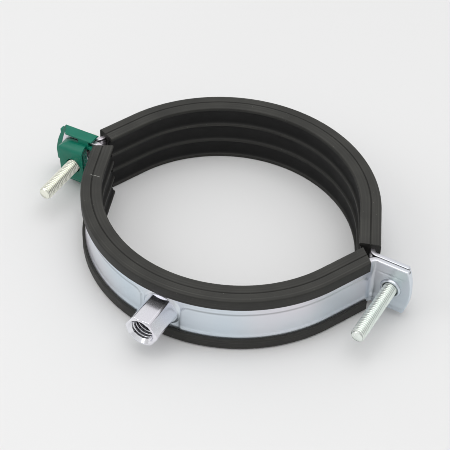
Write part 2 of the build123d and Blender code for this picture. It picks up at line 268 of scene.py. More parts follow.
# ---- the line that strap and rubber follow ------------------------------
def half_line(ear_end, arc, lift, arc_steps=110, tail_steps=24, bend_steps=12, ear_steps=20):
    """The middle of the sheet from the middle of a half to its ear's end, on the +X side.

    Gives the points, the outward normals, and the distance along the line, for an arc of
    STRAP_MID_R, a straight tangent, a bend of BEND_R the other way, and the flat ear.
    """
    ear_mid = -lift - STRAP_T / 2
    out = np.array([sin(arc), -cos(arc)])
    along = np.array([cos(arc), sin(arc)])
    reach = (ear_mid + STRAP_MID_R * cos(arc)) / sin(arc)
    tail = reach - BEND_R * tan(arc / 2)
    centre = out * (STRAP_MID_R + BEND_R) + along * tail
    a = np.linspace(0, arc, arc_steps)
    arc_n = np.stack([np.sin(a), -np.cos(a)], 1)
    t = np.linspace(0, tail, tail_steps + 1)[1:]
    tail_p = out * STRAP_MID_R + t[:, None] * along
    turn = arc - np.linspace(0, arc, bend_steps + 1)[1:]
    bend_n = np.stack([np.sin(turn), -np.cos(turn)], 1)
    e = np.linspace(0, 1, ear_steps + 1)[1:]
    ear_p = np.stack([centre[0] + e * (ear_end - centre[0]), np.full(ear_steps, ear_mid)], 1)
    points = np.concatenate([arc_n * STRAP_MID_R, tail_p, centre - bend_n * BEND_R, ear_p])
    normals = np.concatenate([arc_n, np.tile(out, (tail_steps, 1)), bend_n,
                              np.tile([0.0, -1.0], (ear_steps, 1))])
    step = np.linalg.norm(np.diff(points, axis=0), axis=1)
    return points, normals, np.concatenate([[0], np.cumsum(step)]), centre[0]


def put_half(points, upper):
    """Moves a half from its own frame to its place; the upper half is turned half round."""
    x, y, z = points[..., 0], points[..., 1], points[..., 2]
    if upper:
        return np.stack([-x - HALF_SLIP, -y - UPPER_LIFT, z], -1)
    return np.stack([x + HALF_SLIP, y + LOWER_LIFT, z], -1)


# ---- strap ---------------------------------------------------------------
def strap_section(sides=72, corner=0.45, corner_steps=5):
    """The sheet's section as (offset outwards, place along the pipe), a rounded rectangle.

    It starts at the lower edge, climbs the outer side and comes back down the inner side.
    """
    half_t = STRAP_T / 2
    half_w = STRAP_W / 2
    q = np.linspace(0, pi / 2, corner_steps + 1)
    low = np.stack([(half_t - corner) + corner * np.sin(q), -(half_w - corner) - corner * np.cos(q)], 1)
    z = np.linspace(-(half_w - corner), half_w - corner, sides)[1:-1]
    side = np.stack([np.full(sides - 2, half_t), z], 1)
    high = low[::-1] * [1, -1]
    outer = np.concatenate([low, side, high])
    inner = outer[::-1] * [-1, 1]
    return np.concatenate([outer, inner])


def bead_height(along, z, last):
    """Height of the pressed bead on each side, from near the nut to last.

    It is BEAD_RISE, falling over BEAD_CREASE by the distance from the edge of a rectangle with
    rounded corners; the rectangle has no lower edge.
    """
    first = np.where(along > 0, BEAD_START_RIGHT, BEAD_START_LEFT) * STRAP_OUT_R
    past = np.abs(np.abs(along) - (first + last) / 2) - (last - first) / 2
    over = np.maximum(past + BEAD_CORNER, 0)
    side = np.maximum(np.abs(z - BEAD_MIDDLE) - BEAD_W / 2 + BEAD_CORNER, 0)
    side = np.where(z < BEAD_MIDDLE, 0.0, side)
    away = np.sqrt(over ** 2 + side ** 2) - BEAD_CORNER
    return BEAD_RISE * ramp(-away, *BEAD_CREASE)


def ear_line_depth(x, z):
    """Depth of the fine pressed line: a bell across its height, faded in and out at its two ends."""
    start, stop, height = EAR_LINE
    run = ramp(x, start, start + 0.6) * ramp(-x, -stop, -stop + 0.6)
    return EAR_LINE_DEPTH * run * np.exp(-((z - height) / EAR_LINE_HALF_W) ** 2)


def strap_grid(right_end, left_end, right_arc, left_arc, upper, right_bulge=EAR_BULGE):
    """The strap: its section carried along its line, with bead and flare added to the outward offset.

    The ears' ends are pushed out along X by a parabola across the width, growing along the ear.
    """
    lift = UPPER_LIFT if upper else LOWER_LIFT
    right, right_n, right_s, right_ear = half_line(right_end, right_arc, lift)
    left, left_n, left_s, left_ear = half_line(left_end, left_arc, lift)
    on_right = np.arange(-len(left) + 1, len(right)) > 0
    bead_end = np.where(on_right, right_s[BEND_ROW], left_s[BEND_ROW])
    flip = np.array([-1.0, 1.0])
    points = np.concatenate([(left * flip)[:0:-1], right])
    normals = np.concatenate([(left_n * flip)[:0:-1], right_n])
    along = np.concatenate([-left_s[:0:-1], right_s])
    section = strap_section()
    u = section[:, 0][None, :]
    z = section[:, 1][None, :]
    bead = bead_height(along[:, None], z, bead_end[:, None])
    raised = bead + FLARE_RISE * ramp(-z, FLARE_FROM, FLARE_TO)
    offset = u + raised * ramp(z, LIP_COVERS_TO, LIP_COVERS_FROM)
    if not upper:
        offset = offset - ear_line_depth(points[:, 0][:, None], z) * (u > 0)
    xy = points[:, None, :] + normals[:, None, :] * offset[..., None]
    bulge = 1 - (z / (STRAP_W / 2)) ** 2
    ends = ((right_end, right_ear, 1, right_bulge), (left_end, left_ear, -1, EAR_BULGE))
    for end, start, sign, most in ends:
        part = np.clip((sign * xy[..., 0] - start) / (end - start), 0, 1)
        xy[..., 0] += sign * part * bulge * most
    grid = np.concatenate([xy, np.broadcast_to(z, offset.shape)[..., None]], -1)
    grid = round_ends(grid, -lift - STRAP_T / 2)
    count = grid.shape[1]
    j = np.arange(count // 2 - 1)
    cap = np.stack([j, j + 1, count - 2 - j, count - 1 - j], 1)
    faces = [grid_faces(grid.shape[0], count), cap[:, ::-1], cap + (grid.shape[0] - 1) * count]
    # Painted shade: dark along the inner edges by the rubber, and in the bead's crease on the outer
    # side.
    edge = ramp(section[:, 0], -STRAP_T / 2 + 0.05, -STRAP_T / 2 + 0.35)
    edge = np.maximum(edge, np.abs(section[:, 1]) < STRAP_W / 2 - 1.0)
    shade = np.broadcast_to(np.maximum(edge, HIDDEN_SHADE), grid.shape[:2]).copy()
    risen = bead / BEAD_RISE
    added = (len(grid) - len(bead)) // 2
    shade[added:added + len(bead)] *= 1 - CREASE_SHADE * 4 * risen * (1 - risen) * (u > 0)
    return put_half(grid, upper), np.concatenate(faces), shade


def round_ends(grid, ear_mid, radius=0.35, steps=4):
    """Rounds the rim of both ends of a swept sheet with further rows.

    They lie on a quarter circle: each is set out by the sine and drawn in by one less the cosine.
    """
    rows_first = []
    rows_last = []
    for k in range(1, steps + 1):
        a = k / steps * pi / 2
        inset = radius * (1 - cos(a))
        out = radius * (sin(a) - 1)
        rows_first.append(end_row(grid[0], ear_mid, -out, inset))
        rows_last.append(end_row(grid[-1], ear_mid, out, inset))
    grid[0, :, 0] += radius
    grid[-1, :, 0] -= radius
    return np.concatenate([np.array(rows_first[::-1]), grid, np.array(rows_last)])


def end_row(row, ear_mid, shift, inset):
    """A copy of an ear's end row, shifted along X and drawn in towards its middle."""
    result = row.copy()
    result[:, 0] += shift
    result[:, 1] = ear_mid + (row[:, 1] - ear_mid) * (1 - inset / (STRAP_T / 2))
    result[:, 2] = row[:, 2] * (1 - inset / (STRAP_W / 2))
    return result


def plate(outline, low, high, edge=0.3):
    """A flat piece with eased rims: its outline (x, z) at full size between smaller copies.

    The outline runs clockwise. A copy is moved in along the mean of the two sides' directions,
    turned a quarter round.
    """
    before = outline - np.roll(outline, 1, axis=0)
    after = np.roll(outline, -1, axis=0) - outline
    before /= np.linalg.norm(before, axis=1)[:, None]
    after /= np.linalg.norm(after, axis=1)[:, None]
    ahead = before + after
    ahead /= np.linalg.norm(ahead, axis=1)[:, None]
    inward = np.stack([ahead[:, 1], -ahead[:, 0]], 1)
    rows = []
    for y, inset in ((low, edge), (low + 0.3 * edge, 0.3 * edge), (low + edge, 0.0),
                     (high - edge, 0.0), (high - 0.3 * edge, 0.3 * edge), (high, edge)):
        ring = outline + inward * inset
        rows.append(np.stack([ring[:, 0], np.full(len(ring), y), ring[:, 1]], 1))
    return np.array(rows), capped_faces(len(rows), len(outline)), 1.0


def make_hook():
    """The narrow open hook at the end of the upper strap's left ear, two prongs past the screw.

    Their tips follow the ears' parabola, and the mouth between them is half a circle round the
    screw; one prong's outline is the other's, mirrored.
    """
    root = -HALF_SLIP - HOOK_NECK + HOOK_OVERLAP
    half = HOOK_W / 2
    slot = SLOT_W / 2
    z = np.linspace(half - PRONG_CORNER, slot, 6)
    tip = -HALF_SLIP - HOOK_EAR - EAR_BULGE * (1 - (z / (STRAP_W / 2)) ** 2)
    corners = [[root + past, half + beside] for past, beside in HOOK_ROOT]
    prong = np.concatenate([corners, [[tip[0] + PRONG_CORNER, half]], np.stack([tip, z], 1)])
    mouth = arc_points(LEFT_SCREW_X, 0, slot, 90, -90, 21)
    outline = np.concatenate([prong, mouth, prong[::-1] * [1, -1]])
    return plate(outline[::-1], PLATE_PLAY, STRAP_T - PLATE_PLAY)


# ---- round things along Y ------------------------------------------------
def angles_round(count):
    """Evenly spaced angles round a whole turn."""
    return np.linspace(0, 2 * pi, count, endpoint=False)


def rings(x, y, radius):
    """Points round an axis along Y at x: (x + radius cos, y, radius sin), a row for each ring."""
    angle = angles_round(radius.shape[1])
    return np.stack([x + radius * np.cos(angle), np.broadcast_to(y, radius.shape),
                     radius * np.sin(angle)], -1)


def lathe(x, rows, count=64):
    """A profile turned round an axis along Y; rows are (y, radius), the last joined to the first."""
    rows = np.asarray(rows, float)
    radius = np.repeat(rows[:, 1][:, None], count, 1)
    return rings(x, rows[:, 0][:, None], radius), grid_faces(len(rows), count, True)


def thread_radius(y, angle, thread):
    """Radius of a right-hand thread: its core plus a rounded V, whose place turns once in a pitch."""
    core, height, pitch = thread
    turns = y[:, None] / pitch - angle / (2 * pi)
    from_root = np.abs((turns % 1.0) * 2 - 1)
    return core + height * ramp(from_root, 0.12, 0.88)


# ---- rubber --------------------------------------------------------------
def liner_section():
    """The rubber's section as (radius, place along the pipe), a closed loop.

    Inside are hollows, each half an ellipse, between flat ridges. Each side face has a fine
    groove, and lips wrap the edges of the strap. The lower half mirrors the upper.
    """
    half = LINER_W / 2
    hollow_w = (LINER_W - 2 * RIM_W - 2 * RIDGE_W) / HOLLOWS
    lip_in = half - LIP_W
    strap_out = STRAP_OUT_R + RUBBER_PLAY
    strap_in = STRAP_OUT_R - STRAP_T - RUBBER_PLAY
    strap_edge = STRAP_W / 2 + RUBBER_PLAY
    top = np.concatenate([
        arc_points(PIPE_R + RIM_CORNER, half - RIM_CORNER, RIM_CORNER, 180, 90, 6),
        [[GROOVE_R - 0.35, half], [GROOVE_R - 0.1, half - 0.3]],
        [[GROOVE_R + 0.1, half - 0.3], [GROOVE_R + 0.35, half]],
        arc_points(LIP_OUT_R - LIP_CORNER, half - LIP_CORNER, LIP_CORNER, 90, 0, 8),
        arc_points(LIP_OUT_R - LIP_EDGE, lip_in + LIP_EDGE, LIP_EDGE, 0, -80, 5),
        [[strap_out, lip_in + 0.15], [strap_out, strap_edge], [strap_in, strap_edge]],
    ])
    bottom = top[::-1] * [1, -1]
    starts = -half + RIM_W + (hollow_w + RIDGE_W) * np.arange(HOLLOWS)[:, None]
    q = np.linspace(0, pi, 13)
    across = starts + hollow_w * (1 - np.cos(q)) / 2
    inner = np.stack([np.broadcast_to(PIPE_R + HOLLOW_DEPTH * np.sin(q), across.shape), across], -1)
    return np.concatenate([top, bottom, inner.reshape(-1, 2)])


def liner_grid(right, left, upper, arc_steps=220, tail_steps=24):
    """A rubber half: its section turned through the arc and run straight along both tails.

    Each tail is cut at a slant: its length changes evenly from its inner to its outer side. Painted
    shade is deepest in the hollows and in the groove of each side face.
    """
    section = liner_section()
    radius = section[:, 0][None, :]
    deep = (radius - PIPE_R) / (LIP_OUT_R - PIPE_R)
    a = np.linspace(-left[0], right[0], arc_steps)
    arc_n = np.stack([np.sin(a), -np.cos(a)], 1)
    arc = arc_n[:, None, :] * radius[..., None]
    t = np.linspace(0, 1, tail_steps + 1)[1:, None]
    slant = section[:, 1][None, :] / (LINER_W / 2)
    tails = []
    for (angle, inner, outer, longer), sign in ((right, 1), (left, -1)):
        out = np.array([sign * sin(angle), -cos(angle)])
        along = np.array([sign * cos(angle), sin(angle)])
        length = t * (inner + (outer - inner) * deep - longer * slant)
        tails.append(out * radius[..., None] + along * length[..., None])
    xy = np.concatenate([tails[1][::-1], arc, tails[0]])
    z = np.broadcast_to(section[:, 1][None, :], xy.shape[:2])[..., None]
    grid = np.concatenate([xy, z], -1)
    faces = capped_faces(*grid.shape[:2])
    groove = ramp(np.abs(section[:, 0] - GROOVE_R), 0.1, 0.3)
    side = ramp(np.abs(section[:, 1]), LINER_W / 2 - 0.5, LINER_W / 2 - 0.3)
    side_shade = side * (GROOVE_SHADE + (1 - GROOVE_SHADE) * groove)
    inner = RIDGE_SHADE - (RIDGE_SHADE - HOLLOW_SHADE) * ramp(section[:, 0], PIPE_R, PIPE_R + 0.9)
    outwards = ramp(section[:, 0], PIPE_R + 2.0, PIPE_R + 3.0)
    shade = np.maximum(side_shade, inner + (OUTER_SHADE - inner) * outwards)
    return put_half(grid, upper), faces, np.where(side > 0.5, side_shade, shade)


# ---- materials -----------------------------------------------------------
# Three tones of zinc for each kind of piece, from cool to warm to tinted.
STRAP_ZINC = ((0.68, 0.77, 0.84), (0.74, 0.78, 0.83), (0.81, 0.765, 0.815))
NUT_ZINC = ((0.8, 0.83, 0.88), (0.86, 0.86, 0.9), (0.84, 0.82, 0.9))
SCREW_ZINC = ((0.8, 0.91, 0.87), (0.9, 0.94, 0.89), (0.94, 0.95, 0.84))

RUBBER_TONES = ((0.022, 0.0218, 0.0194), (0.035, 0.0348, 0.0308))
SCUFF = (0.09, 0.088, 0.08)
DUST = (0.2, 0.2, 0.18)
SCRATCH = (0.32, 0.32, 0.3)
GREEN_TONES = ((0.002, 0.145, 0.092), (0.003, 0.17, 0.11))
FLOOR_TONES = ((0.77, 0.77, 0.77), (0.785, 0.785, 0.785))

# The middle of a noise's range, where most of it lies.
NOISE_LOW = 0.3
NOISE_HIGH = 0.7

# The tint rises by BLUSH between these places along X, in millimetres.
BLUSH_START = -22
BLUSH_END = -66
BLUSH = 0.32

# The scratch's middle, its turn and its half length and half width.
SCRATCH_PLACE = (-52.7, -20.95)
SCRATCH_TURN = radians(7.9)
SCRATCH_HALF = (2.3, 0.1)


def new_material(name):
    """A material with its own node tree; gives the material, its nodes, links and shader."""
    material = bpy.data.materials.new(name)
    material.use_nodes = True
    nodes = material.node_tree.nodes
    return material, nodes, material.node_tree.links, nodes["Principled BSDF"]


def add(nodes, kind, **values):
    """A new node with some of its inputs or properties set."""
    node = nodes.new(kind)
    for key, value in values.items():
        if key in node.inputs:
            node.inputs[key].default_value = value
        else:
            setattr(node, key, value)
    return node


def noise(nodes, links, place, scale, detail=3.0, rough=0.55):
    """A noise texture in object coordinates; scale is in turns per metre."""
    node = add(nodes, "ShaderNodeTexNoise", Scale=scale, Detail=detail, Roughness=rough)
    links.new(place, node.inputs["Vector"])
    return node.outputs["Fac"]


def colour_ramp(nodes, links, value, stops):
    """Colours by value: stops are (place, linear colour)."""
    node = nodes.new("ShaderNodeValToRGB")
    links.new(value, node.inputs["Fac"])
    ramp_stops = node.color_ramp.elements
    while len(ramp_stops) < len(stops):
        ramp_stops.new(0.5)
    for stop, (place, colour) in zip(ramp_stops, stops):
        stop.position = place
        stop.color = (*colour, 1.0)
    return node.outputs["Color"]


def bump(nodes, links, shader, height, strength, distance):
    """Adds surface relief; distance is in metres."""
    node = add(nodes, "ShaderNodeBump", Strength=strength, Distance=distance)
    links.new(height, node.inputs["Height"])
    links.new(node.outputs["Normal"], shader.inputs["Normal"])


def map_range(nodes, links, value, from_low, from_high, low, high):
    """Maps from_low to from_high evenly onto low to high, and holds it there."""
    node = nodes.new("ShaderNodeMapRange")
    node.inputs["From Min"].default_value = from_low
    node.inputs["From Max"].default_value = from_high
    node.inputs["To Min"].default_value = low
    node.inputs["To Max"].default_value = high
    links.new(value, node.inputs["Value"])
    return node.outputs["Result"]


def spread(nodes, links, value, low, high):
    """Maps the middle of a noise's range onto low to high."""
    return map_range(nodes, links, value, NOISE_LOW, NOISE_HIGH, low, high)


def cloudy(nodes, links, value, tones):
    """A colour that drifts with a noise between two tones."""
    return colour_ramp(nodes, links, value, list(zip((NOISE_LOW, NOISE_HIGH), tones)))


def calculate(nodes, links, operation, *values):
    """A calculation on one or two values, each a socket or a number."""
    node = add(nodes, "ShaderNodeMath", operation=operation)
    for socket, value in zip(node.inputs, values):
        if isinstance(value, float):
            socket.default_value = value
        else:
            links.new(value, socket)
    return node.outputs[0]


def stored(nodes, name):
    """The value that each point of the mesh stores under that name."""
    return add(nodes, "ShaderNodeAttribute", attribute_name=name).outputs["Fac"]


def laid_over(nodes, links, factor, under, over):
    """One colour laid over another, by a factor from 0 to 1; over is a linear colour."""
    node = add(nodes, "ShaderNodeMix", data_type="RGBA", clamp_factor=True)
    links.new(factor, node.inputs["Factor"])
    links.new(under, node.inputs[6])
    node.inputs[7].default_value = (*over, 1.0)
    return node.outputs[2]


def shaded(nodes, links, shader, colour):
    """Gives the shader a colour times the mesh's painted shade, which darkens the grooves."""
    node = add(nodes, "ShaderNodeMix", data_type="RGBA", blend_type="MULTIPLY")
    node.inputs["Factor"].default_value = 1.0
    links.new(colour, node.inputs[6])
    links.new(stored(nodes, "shade"), node.inputs[7])
    links.new(node.outputs[2], shader.inputs["Base Color"])


def zinc_material(name, tones, rough_low, rough_high):
    """Bright zinc plating: broad soft drifts between three pale tones, and slightly uneven gloss.

    The drift value is noise plus a rise towards the clip's end, where the film is more tinted.
    """
    material, nodes, links, shader = new_material(name)
    place = nodes.new("ShaderNodeTexCoord").outputs["Object"]
    cloud = noise(nodes, links, place, scale=28.0, detail=1.5, rough=0.4)
    sides = nodes.new("ShaderNodeSeparateXYZ")
    links.new(place, sides.inputs[0])
    blush = map_range(nodes, links, sides.outputs["X"], BLUSH_START * MM, BLUSH_END * MM, 0.0, BLUSH)
    drift = calculate(nodes, links, "ADD", cloud, blush)
    colour = colour_ramp(nodes, links, drift, list(zip((0.3, 0.52, 0.78), tones)))
    # The zinc's colour is darkened by the mesh's painted shade.
    shaded(nodes, links, shader, colour)
    shader.inputs["Metallic"].default_value = 1.0
    haze = noise(nodes, links, place, scale=140.0, rough=0.5)
    links.new(spread(nodes, links, haze, rough_low, rough_high), shader.inputs["Roughness"])
    return material


def scratch(nodes, links, place):
    """1 on one short pale scratch in the upper side face, 0 elsewhere: a thin turned rectangle."""
    centred = add(nodes, "ShaderNodeMapping", vector_type="TEXTURE")
    x, y = SCRATCH_PLACE
    centred.inputs["Location"].default_value = (x * MM, y * MM, 0.0)
    centred.inputs["Rotation"].default_value = (0.0, 0.0, SCRATCH_TURN)
    links.new(place, centred.inputs["Vector"])
    parts = nodes.new("ShaderNodeSeparateXYZ")
    links.new(centred.outputs["Vector"], parts.inputs[0])
    within = []
    for axis, half in zip("XY", SCRATCH_HALF):
        size = calculate(nodes, links, "ABSOLUTE", parts.outputs[axis])
        within.append(calculate(nodes, links, "LESS_THAN", size, half * MM))
    return calculate(nodes, links, "MULTIPLY", *within)


def rubber_material():
    """Black rubber: warm dark grey with a faint bloom and pores.

    Fine scuffs run along the profile where patches of noise allow, with specks of dust.
    """
    material, nodes, links, shader = new_material("rubber")
    place = nodes.new("ShaderNodeTexCoord").outputs["Object"]
    bloom = noise(nodes, links, place, scale=90.0, detail=5.0, rough=0.6)
    colour = cloudy(nodes, links, bloom, RUBBER_TONES)
    lines = add(nodes, "ShaderNodeTexNoise", noise_dimensions="1D", Scale=1.7, Detail=3.0)
    links.new(stored(nodes, "across"), lines.inputs["W"])
    patch = noise(nodes, links, place, scale=45.0, detail=2.0)
    scuffs = calculate(nodes, links, "MULTIPLY",
                       spread(nodes, links, lines.outputs["Fac"], -0.2, 0.55),
                       spread(nodes, links, patch, -0.1, 0.8))
    colour = laid_over(nodes, links, scuffs, colour, SCUFF)
    cells = add(nodes, "ShaderNodeTexVoronoi", Scale=400.0)
    links.new(place, cells.inputs["Vector"])
    dust = colour_ramp(nodes, links, cells.outputs["Distance"], [(0.0, (1, 1, 1)), (0.075, (0, 0, 0))])
    colour = laid_over(nodes, links, dust, colour, DUST)
    colour = laid_over(nodes, links, scratch(nodes, links, place), colour, SCRATCH)
    # The rubber's colour is darkened by the mesh's painted shade.
    shaded(nodes, links, shader, colour)
    links.new(spread(nodes, links, bloom, 0.52, 0.66), shader.inputs["Roughness"])
    shader.inputs["Specular IOR Level"].default_value = 0.33
    pores = noise(nodes, links, place, scale=1300.0, detail=4.0, rough=0.6)
    bump(nodes, links, shader, pores, strength=0.2, distance=0.04 * MM)
    return material


def plastic_material():
    """Green moulded plastic: even colour with faint flow marks and a fine satin grain."""
    material, nodes, links, shader = new_material("green_plastic")
    place = nodes.new("ShaderNodeTexCoord").outputs["Object"]
    flow = noise(nodes, links, place, scale=160.0)
    links.new(cloudy(nodes, links, flow, GREEN_TONES), shader.inputs["Base Color"])
    grain = noise(nodes, links, place, scale=1200.0, rough=0.5)
    links.new(spread(nodes, links, grain, 0.3, 0.4), shader.inputs["Roughness"])
    shader.inputs["Specular IOR Level"].default_value = 0.35
    return material


def floor_material():
    """A plain pale floor with the slightest unevenness."""
    material, nodes, links, shader = new_material("floor")
    place = nodes.new("ShaderNodeTexCoord").outputs["Object"]
    cloud = noise(nodes, links, place, scale=3.0, detail=2.0)
    links.new(cloudy(nodes, links, cloud, FLOOR_TONES), shader.inputs["Base Color"])
    shader.inputs["Roughness"].default_value = 0.9
    shader.inputs["Specular IOR Level"].default_value = 0.1
    return material


# ---- pieces --------------------------------------------------------------
def make_collars():
    """The drawn, tapped collars on the front of the lower ears: a profile turned round each screw.

    Each row of the profile is (y, radius, shade), the shade being painted shade, darkest in the bore.
    """
    face = -STRAP_T
    top = face - COLLAR_H
    wall = COLLAR_D / 2
    foot = [(face + 0.3, wall + 0.3, 0.8), (face, wall + 0.12, 0.5), (face - 0.12, wall, 0.7)]
    rim = [(top + 0.3, wall - 0.1, 1.0), (top + 0.08, wall - 0.28, 1.0), (top, wall - 0.6, 1.0)]
    bore = [(top + 0.05, COLLAR_BORE_R + 0.45, 0.5), (top + 0.5, COLLAR_BORE_R + 0.02, 0.12),
            (0.0, COLLAR_BORE_R, 0.1)]
    profile = np.array(foot + rim + bore)
    parts = []
    for x in (RIGHT_SCREW_X, LEFT_SCREW_X):
        grid, faces = lathe(x, profile[:, :2])
        parts.append((grid, faces, np.broadcast_to(profile[:, 2:], grid.shape[:2])))
    return parts


def make_weld():
    """The low fillet round the nut's foot: a profile turned round the nut's axis.

    Its points are raised by x squared over the strap's diameter, to follow the strap's curve.
    """
    foot = LOWER_LIFT - STRAP_OUT_R
    rows = [(foot + 0.5, WELD_R), (foot - 0.02, WELD_R), (foot - 0.18, WELD_R - 0.3),
            (foot - 0.4, WELD_R - 0.65), (foot - 0.7, WELD_R - 0.9), (foot - 1.1, WELD_R - 1.1),
            (foot - 1.1, NUT_ACROSS_FLATS / 2 - 0.5)]
    grid, faces = lathe(NUT_X, rows, 96)
    grid[..., 1] += (grid[..., 0] - HALF_SLIP) ** 2 / (2 * STRAP_OUT_R)
    return grid, faces, 1.0


def make_bands(material):
    """Both straps, the lower one with its collars and the nut's weld."""
    lower = [strap_grid(RIGHT_EAR, LEFT_EAR, LOWER_RIGHT[0], LOWER_LEFT[0], False)]
    lower += make_collars() + [make_weld()]
    piece = solid("lower_strap", lower, material, "lower_half")
    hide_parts("lower_band")
    upper = [strap_grid(HOOK_NECK, UPPER_RIGHT_EAR, UPPER_LEFT[0], UPPER_RIGHT[0], True, 0.0)]
    upper += [make_hook()]
    piece = solid("upper_strap", upper, material, "upper_half")
    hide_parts("upper_band")


def mark_across(piece):
    """Stores on each point how far round the rubber's section it lies, in millimetres."""
    section = liner_section()
    step = np.linalg.norm(np.roll(section, -1, axis=0) - section, axis=1)
    across = np.concatenate([[0], np.cumsum(step)[:-1]])
    attribute = piece.data.attributes.new("across", "FLOAT", "POINT")
    values = np.tile(across, len(piece.data.vertices) // len(across))
    attribute.data.foreach_set("value", values.astype(np.float32))


def make_liners(material):
    """Both rubber halves, each with its tails' lengths and angles from the strap's own ends."""
    lower = solid("lower_rubber", [liner_grid(LOWER_RIGHT, LOWER_LEFT, False)], material,
                  "lower_half", sharp=50.0)
    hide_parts("lower_liner")
    upper = solid("upper_rubber", [liner_grid(UPPER_LEFT, UPPER_RIGHT, True)], material,
                  "upper_half", sharp=50.0)
    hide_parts("upper_liner")
    mark_across(lower)
    mark_across(upper)


def hexagon_radius(angle, across_flats, corner_cut):
    """Radius of a hexagon with a corner on X, its corners eased by a slightly smaller circle."""
    turn = (angle + pi / 6) % (pi / 3) - pi / 6
    flat = across_flats / 2 / np.cos(np.abs(turn) - pi / 6)
    return np.minimum(flat, across_flats / sqrt(3) - corner_cut)


def make_nut(material):
    """The connection nut: one line of rings from its foot, down its side and back up its bore.

    The side is the smaller of a hexagon and a cone; the bore's mouth is the larger of the M10
    thread and a sink of 45 degrees, and the M8 thread follows. Painted shade darkens the bore,
    where the M10 thread is cut deep and all along the M8.
    """
    foot = LOWER_LIFT - STRAP_OUT_R
    mouth = -NUT_TIP
    angle = angles_round(192)
    side_y = np.concatenate([[foot + 0.3], np.linspace(foot - 1.0, mouth + 1.6, 12),
                             np.linspace(mouth + 1.5, mouth, 12)])
    chamfer = NUT_MOUTH_R + (side_y - mouth)[:, None] * NUT_CHAMFER_SLOPE
    side = np.minimum(hexagon_radius(angle, NUT_ACROSS_FLATS, NUT_CORNER_CUT), chamfer)
    m10_y = np.concatenate([np.linspace(mouth, mouth + 1.3, SINK_ROWS),
                            np.linspace(mouth + 1.35, mouth + NUT_M10_DEPTH, M10_ROWS)])
    m10 = thread_radius(m10_y, angle, M10_THREAD)
    sink = NUT_SINK_R - (m10_y - mouth)[:, None]
    m10 = np.where(m10_y[:, None] < mouth + NUT_SINK_H, np.maximum(m10, sink), m10)
    m10_shade = 1 - (1 - BORE_SHADE) * ramp(m10, 4.5, 4.9)
    m10_shade[:SINK_ROWS] = 1.0
    m8_y = np.linspace(mouth + NUT_M10_DEPTH + 0.5, foot, M8_ROWS)
    m8 = thread_radius(m8_y, angle, M8_THREAD)
    y = np.concatenate([side_y, m10_y, m8_y])
    radius = np.concatenate([side, m10, m8])
    shade = np.concatenate([np.ones_like(side), m10_shade, np.full_like(m8, BORE_SHADE)])
    parts = [(rings(NUT_X, y[:, None], radius), capped_faces(*radius.shape), shade)]
    piece = solid("nut", parts, material, "lower_half", sharp=35.0)
    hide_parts("connection_nut")


def make_screw(name, node, body, x, head_y, material):
    """An M6 screw: a shank, the smaller of its thread and a cone at its tip, and a head."""
    tip = head_y - SCREW_L
    rolled = np.linspace(tip + 0.02, head_y - 1.0, THREAD_TURNS * ROWS_PER_TURN)
    y = np.concatenate([[tip], rolled, [head_y]])
    cone = SCREW_TIP_R + (y - tip)[:, None] * SCREW_TIP_SLOPE
    radius = np.minimum(thread_radius(y, angles_round(48), M6_THREAD), cone)
    # Painted shade darkens the thread's roots; the first rows at the tip have none.
    shade = SCREW_ROOT_SHADE + (1 - SCREW_ROOT_SHADE) * ramp(radius, 2.45, 2.8)
    shade[:3] = 1.0
    shank = (rings(x, y[:, None], radius), capped_faces(*radius.shape), shade)
    parts = [shank, screw_head(x, head_y)]
    piece = solid(name, parts, material, body, sharp=50.0)
    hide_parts(node)


def screw_head(x, head_y, count=96):
    """A hexagon head with eased corners, a washer face and a cross recess in its top.

    The recess is deep where the place across the top lies within RECESS_HALF_W of either arm's
    middle line and within RECESS_REACH along it.
    """
    angle = angles_round(count)
    hexagon = hexagon_radius(angle, HEAD_ACROSS_FLATS, HEAD_CORNER_CUT)
    top = head_y + HEAD_H
    side_y = np.concatenate([[head_y, head_y], np.linspace(head_y + 0.3, top, 14)])
    chamfer = HEAD_FACE_R + (top - side_y)[:, None] * HEAD_CHAMFER_SLOPE
    side = np.minimum(hexagon, chamfer)
    side[0] = HEAD_UNDER_R
    side[1] = WASHER_R
    face = np.minimum(hexagon, np.linspace(HEAD_FACE_R - 0.05, 0.01, 40)[:, None])
    across = face * np.cos(angle)
    up = face * np.sin(angle)
    arm = np.minimum(np.abs(across), np.abs(up)) - RECESS_HALF_W
    reach = np.maximum(np.abs(across), np.abs(up)) - RECESS_REACH
    deep = RECESS_DEPTH * ramp(-np.maximum(arm, reach), -0.08, 0.35)
    y = np.concatenate([np.repeat(side_y[:, None], count, 1), top - deep])
    radius = np.concatenate([side, face])
    return rings(x, y, radius), capped_faces(*radius.shape), 1.0


def close_tongue(skin):
    """Adds the thin wall across the tongue's inner end: its outline (y, z) at four places along X.

    The outer two are a little narrower, which eases the wall's rim.
    """
    root = -CLIP_FRONT
    front = np.array([[root - 0.1, CLIP_TONGUE_ROOT_Z - 0.4], [root - 1.4, CLIP_TONGUE_ROOT_Z - 0.6],
                      [root - 2.8, CLIP_TONGUE_Z + 0.8], [0.3 - CLIP_TONGUE, CLIP_TONGUE_Z - 0.5]])
    outline = np.concatenate([front, front[::-1] * [1, -1]])
    rows = []
    left, right = TONGUE_WALL
    for x, taper in ((left, TONGUE_WALL_TAPER), (left + TONGUE_WALL_RIM, 1.0),
                     (right - TONGUE_WALL_RIM, 1.0), (right, TONGUE_WALL_TAPER)):
        rows.append(np.stack([np.full(len(outline), x), outline[:, 0], outline[:, 1] * taper], 1))
    grid = np.array(rows).reshape(-1, 3)
    tilt = Matrix.Rotation(CLIP_TILT, 3, "Y")
    centre = Vector((LEFT_SCREW_X, 0, 0))
    points = [skin.verts.new((tilt @ (Vector(point) - centre) + centre) * MM) for point in grid]
    faces = capped_faces(len(rows), len(outline))
    made = [skin.faces.new([points[i] for i in face]) for face in faces]
    bmesh.ops.recalc_face_normals(skin, faces=made)


